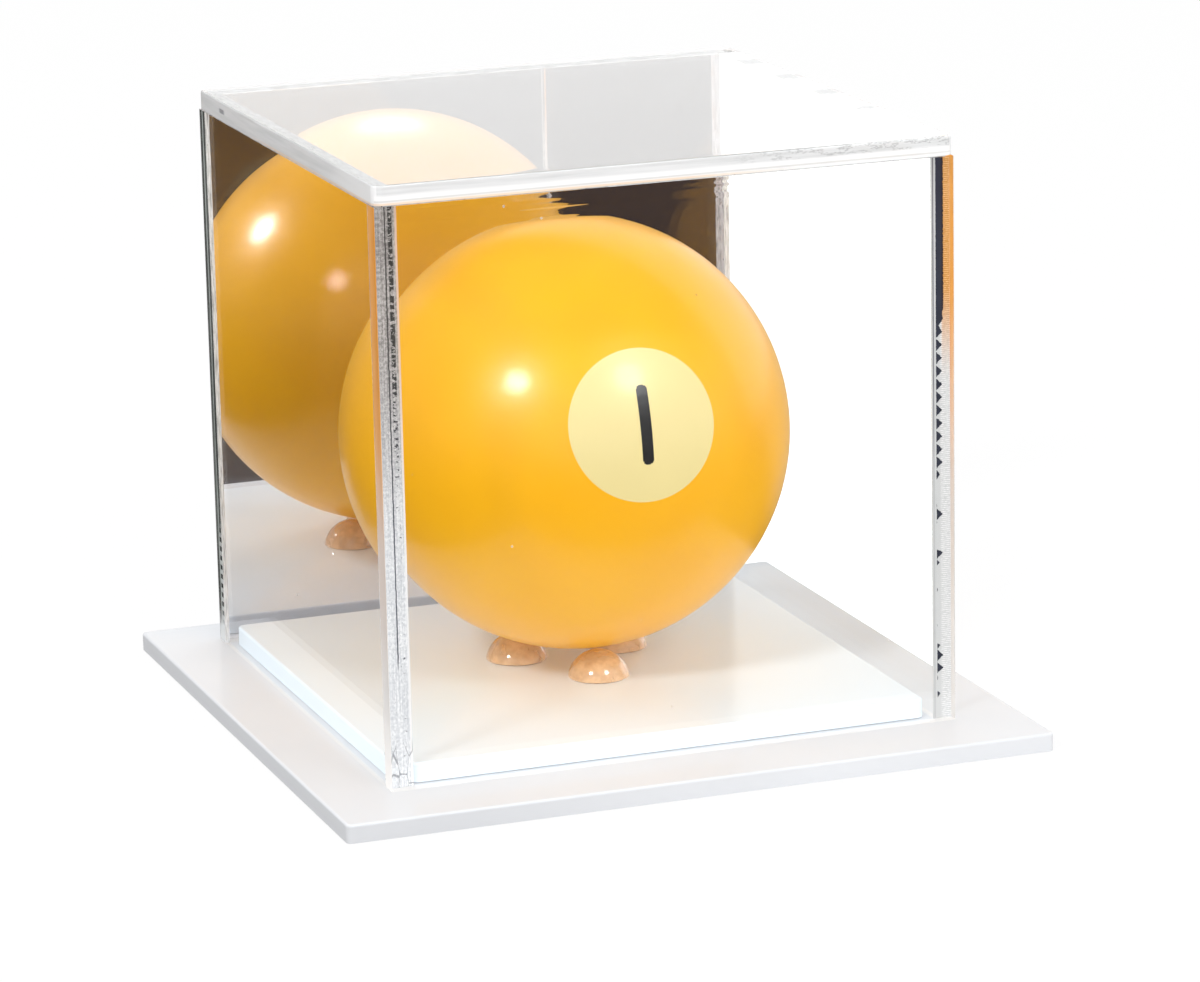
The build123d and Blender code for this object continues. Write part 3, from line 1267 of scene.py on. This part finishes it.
def part_at_disc(piece, side, sizes, keep_disc):
    """Parts a sphere at a disc's rim, keeps one side and closes it with the disc's seat"""
    radius = sizes.ball_diameter / 2
    rim = math.sqrt(radius**2 - (sizes.disc_diameter / 2) ** 2)
    way = disc_way(sizes, side)
    bpy.ops.mesh.select_all(action="SELECT")
    bpy.ops.mesh.bisect(
        plane_co=BALL_CENTRE + way * rim,
        plane_no=way,
        clear_inner=keep_disc,
        clear_outer=not keep_disc,
        use_fill=False,
    )
    choose(piece, "EDGE", lambda edge: edge.is_boundary)
    sink = -way * (rim - (radius - sizes.disc_depth))
    bpy.ops.mesh.extrude_region_move(TRANSFORM_OT_translate={"value": sink})
    bpy.ops.mesh.edge_face_add()


class CASE_OT_ball(bpy.types.Operator):
    """Ball body, with a round seat cut into it for each number disc"""

    bl_idname = "display_case.ball"
    bl_label = "Ball"

    def execute(self, context):
        sizes = context.scene.case_sizes
        colours = context.scene.case_colours
        piece = ball_sphere("ball_shell", sizes)
        for side in ("front", "back"):
            part_at_disc(piece, side, sizes, False)
        close_up()
        deeper = [colours.ball[0] * 0.97, colours.ball[1] * 0.93, colours.ball[2]]
        material = polished_resin("ball_resin", colours.ball, deeper)
        piece.data.materials.append(material)
        finish_piece(piece, "ball", ["ball_body"])
        return {"FINISHED"}


class CASE_OT_number_discs(bpy.types.Operator):
    """Cream discs let into the ball, each with a plain figure one"""

    bl_idname = "display_case.number_discs"
    bl_label = "Number discs"

    def execute(self, context):
        sizes = context.scene.case_sizes
        colours = context.scene.case_colours
        deeper = scaled(colours.disc, 0.95)
        cream = polished_resin("disc_resin", colours.disc, deeper)
        black = polished_resin("figure_resin", colours.figure, colours.figure)
        for side in ("front", "back"):
            self.disc(side, sizes, cream)
            self.figure(side, sizes, black)
        return {"FINISHED"}

    def disc(self, side, sizes, material):
        piece = ball_sphere("disc_" + side, sizes)
        part_at_disc(piece, side, sizes, True)
        close_up()
        piece.data.materials.append(material)
        finish_piece(piece, "ball", ["number_disc_" + side])

    def figure(self, side, sizes, material):
        """A flat bar with round ends, laid onto the disc and given its depth"""
        radius = sizes.ball_diameter / 2
        half_stroke = sizes.figure_stroke / 2
        end = sizes.figure_height / 2 - half_stroke
        start_clean()
        bpy.ops.mesh.primitive_grid_add(x_subdivisions=10, y_subdivisions=64, size=1.0)
        piece = bpy.context.active_object
        piece.scale = (sizes.figure_stroke, sizes.figure_height, 1.0)
        piece = named("figure_" + side)
        start_edit()
        for sign in (-1, 1):
            for step in range(-11, 12):
                turn = math.radians(step * 7.5)
                out = Vector((math.sin(turn), sign * math.cos(turn), 0))
                bpy.ops.mesh.select_all(action="SELECT")
                bpy.ops.mesh.bisect(
                    plane_co=Vector((0, sign * end, 0)) + out * half_stroke,
                    plane_no=out,
                    clear_outer=True,
                    use_fill=False,
                )
        bpy.ops.object.mode_set(mode="OBJECT")
        quarter = math.radians(90)
        turned = quarter - sizes.disc_tilt if side == "front" else -quarter - sizes.disc_tilt
        piece.rotation_euler = (turned, 0, 0)
        piece.location = BALL_CENTRE + disc_way(sizes, side) * radius
        piece = named("figure_" + side)
        wrap = piece.modifiers.new("onto the disc", "SHRINKWRAP")
        wrap.target = bpy.data.objects["disc_" + side]
        wrap.wrap_method = "NEAREST_SURFACEPOINT"
        wrap.wrap_mode = "ABOVE_SURFACE"
        wrap.offset = FIGURE_PROUD
        bpy.ops.object.modifier_apply(modifier=wrap.name)
        depth = piece.modifiers.new("depth", "SOLIDIFY")
        depth.thickness = FIGURE_DEPTH
        depth.offset = -1.0
        bpy.ops.object.modifier_apply(modifier=depth.name)
        piece.data.materials.append(material)
        finish_piece(piece, "ball", ["numeral_" + side])


class CASE_PT_sidebar(bpy.types.Panel):
    """Lists the steps that build the case"""

    bl_idname = "CASE_PT_sidebar"
    bl_label = "Display Case"
    bl_space_type = "VIEW_3D"
    bl_region_type = "UI"
    bl_category = "Display Case"

    def draw(self, context):
        for step in STEPS:
            self.layout.operator(step.bl_idname)
        for group in (context.scene.case_sizes, context.scene.case_colours):
            box = self.layout.box()
            for name in group.bl_rna.properties.keys():
                if name not in ("rna_type", "name"):
                    box.prop(group, name)


STEPS = (
    CASE_OT_stage,
    CASE_OT_base,
    CASE_OT_rests,
    CASE_OT_front_panel,
    CASE_OT_side_panels,
    CASE_OT_top_panel,
    CASE_OT_mirror,
    CASE_OT_seams,
    CASE_OT_ball,
    CASE_OT_number_discs,
)
GROUPS = (CaseSizes, CaseColours, StageSettings)


def register():
    for group in GROUPS:
        bpy.utils.register_class(group)
    bpy.types.Scene.case_sizes = PointerProperty(type=CaseSizes)
    bpy.types.Scene.case_colours = PointerProperty(type=CaseColours)
    bpy.types.Scene.case_stage = PointerProperty(type=StageSettings)
    for step in STEPS:
        bpy.utils.register_class(step)
    bpy.utils.register_class(CASE_PT_sidebar)


def unregister():
    bpy.utils.unregister_class(CASE_PT_sidebar)
    for step in reversed(STEPS):
        bpy.utils.unregister_class(step)
    del bpy.types.Scene.case_stage
    del bpy.types.Scene.case_colours
    del bpy.types.Scene.case_sizes
    for group in reversed(GROUPS):
        bpy.utils.unregister_class(group)


def main():
    register()
    bpy.ops.display_case.stage()
    bpy.ops.display_case.base()
    bpy.ops.display_case.rests()
    bpy.ops.display_case.front_panel()
    bpy.ops.display_case.side_panels()
    bpy.ops.display_case.top_panel()
    bpy.ops.display_case.mirror()
    bpy.ops.display_case.seams()
    bpy.ops.display_case.ball()
    bpy.ops.display_case.number_discs()


if __name__ == "__main__":
    main()
